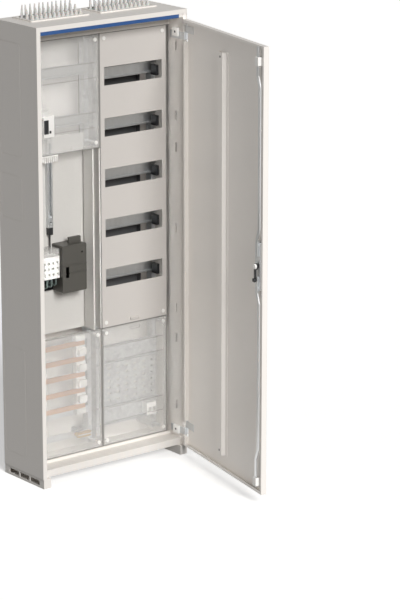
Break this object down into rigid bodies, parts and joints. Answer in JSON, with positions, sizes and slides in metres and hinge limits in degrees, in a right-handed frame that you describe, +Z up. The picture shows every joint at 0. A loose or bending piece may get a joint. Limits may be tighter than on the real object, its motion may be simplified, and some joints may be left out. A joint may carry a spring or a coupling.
{
  "type": "electrical distribution and meter cabinet",
  "caption": "Tall wall cabinet with two equipment fields, slotted and clear lift-off covers, cable finger strips on top, foot rails and a hinged door with rod lock.",
  "frame": {"origin": "middle of the footprint on the plane of the feet", "axes": "+Z up, -Y out of the front, +X towards the hinge side; the rest pose has the door open by 78 degrees"},
  "size_m": [0.55, 0.7274, 1.441],
  "materials": {
    "white_enamel": "textured powder coat",
    "blue_plastic": "satin",
    "cover_plastic": "fine spark texture",
    "clear_plastic": "smooth clear",
    "soft_membrane": "matt moulded",
    "zinc_steel": "zinc plated",
    "white_plastic": "moulded",
    "black_plastic": "moulded",
    "hood_plastic": "moulded",
    "grey_plastic": "moulded",
    "copper": "drawn copper",
    "brass": "machined"
  },
  "bodies": {
    "cabinet": {"back_wall": "white_enamel", "bottom_panel": "white_enamel", "busbar_supports": "white_plastic", "cable_flange_left": "white_enamel", "cable_flange_right": "white_enamel", "data_plate": "zinc_steel", "data_socket": "grey_plastic", "din_rail_1": "zinc_steel", "din_rail_2": "zinc_steel", "din_rail_3": "zinc_steel", "din_rail_4": "zinc_steel", "din_rail_5": "zinc_steel", "earth_busbar": "copper", "earth_terminals": "brass", "field_uprights": "zinc_steel", "foot_rail_left": "white_enamel", "foot_rail_right": "white_enamel", "hanger_bar": "zinc_steel", "head_rail": "white_enamel", "hinge_frame_halves": "zinc_steel", "meter_channels": "white_enamel", "meter_field_rails": "zinc_steel", "meter_plate": "cover_plastic", "meter_rod": "black_plastic", "neutral_busbar": "copper", "nozzle_strip_left": "soft_membrane", "nozzle_strip_right": "soft_membrane", "phase_busbars": "copper", "rail_end_stops": "black_plastic", "side_wall_left": "white_enamel", "side_wall_right": "white_enamel", "sill": "white_enamel", "stile_left": "white_enamel", "stile_right": "white_enamel", "support_rails": "zinc_steel", "switch_body": "white_plastic", "terminal_block": "white_plastic", "terminal_lid": "clear_plastic", "terminal_wires": "black_plastic", "title_strip": "blue_plastic", "top_panel": "white_enamel"},
    "door": {"door_panel": "white_enamel", "door_stiffener": "white_enamel", "lock_case": "hood_plastic", "rod_guides": "white_plastic", "hinge_door_halves": "zinc_steel"},
    "handle": {"door_handle": "grey_plastic"},
    "upper_rod": {"lock_rod_upper": "zinc_steel"},
    "lower_rod": {"lock_rod_lower": "zinc_steel"},
    "distribution_cover_body": {"distribution_cover": "cover_plastic", "distribution_fasteners": "white_plastic"},
    "data_cover_body": {"data_cover": "clear_plastic", "data_fasteners": "white_plastic"},
    "upper_meter_cover_body": {"upper_meter_cover": "clear_plastic", "upper_meter_fasteners": "white_plastic"},
    "busbar_cover_body": {"busbar_cover": "clear_plastic", "busbar_fasteners": "white_plastic"},
    "hood": {"terminal_hood": "hood_plastic"},
    "hook": {"meter_hook": "zinc_steel"},
    "toggle": {"switch_toggle": "black_plastic"}
  },
  "joints": [
    {"name": "door_hinge", "type": "hinge", "parent": "cabinet", "child": "door", "pos_m": [0.27, -0.1085, 0.7], "axis": [0, 0, 1], "range_deg": [-78, 97]},
    {"name": "handle_turn", "type": "hinge", "parent": "door", "child": "handle", "pos_m": [0.16364, -0.60166, 0.728], "axis": [0.9781, -0.2079, 0], "range_deg": [0, 90]},
    {"name": "upper_rod_slide", "type": "slide", "parent": "door", "child": "upper_rod", "axis": [0, 0, 1], "range_m": [0, 0.012]},
    {"name": "lower_rod_slide", "type": "slide", "parent": "door", "child": "lower_rod", "axis": [0, 0, -1], "range_m": [0, 0.012]},
    {"name": "distribution_cover_lift_off", "type": "slide", "parent": "cabinet", "child": "distribution_cover_body", "axis": [0, -1, 0], "range_m": [0, 0.065]},
    {"name": "data_cover_lift_off", "type": "slide", "parent": "cabinet", "child": "data_cover_body", "axis": [0, -1, 0], "range_m": [0, 0.065]},
    {"name": "upper_meter_cover_lift_off", "type": "slide", "parent": "cabinet", "child": "upper_meter_cover_body", "axis": [0, -1, 0], "range_m": [0, 0.065]},
    {"name": "busbar_cover_lift_off", "type": "slide", "parent": "cabinet", "child": "busbar_cover_body", "axis": [0, -1, 0], "range_m": [0, 0.065]},
    {"name": "hood_lift_off", "type": "slide", "parent": "cabinet", "child": "hood", "axis": [0, -1, 0], "range_m": [0, 0.12]},
    {"name": "hook_slide", "type": "slide", "parent": "cabinet", "child": "hook", "axis": [0, 0, 1], "range_m": [-0.008, 0.2]},
    {"name": "toggle_turn", "type": "hinge", "parent": "cabinet", "child": "toggle", "pos_m": [-0.1925, -0.0175, 1.088], "axis": [1, 0, 0], "range_deg": [-44, 0]}
  ],
  "couplings": [
    {"joint": "handle_turn", "follows": "upper_rod_slide", "rad_per_m": 130.9},
    {"joint": "lower_rod_slide", "follows": "upper_rod_slide", "ratio": 1}
  ]
}
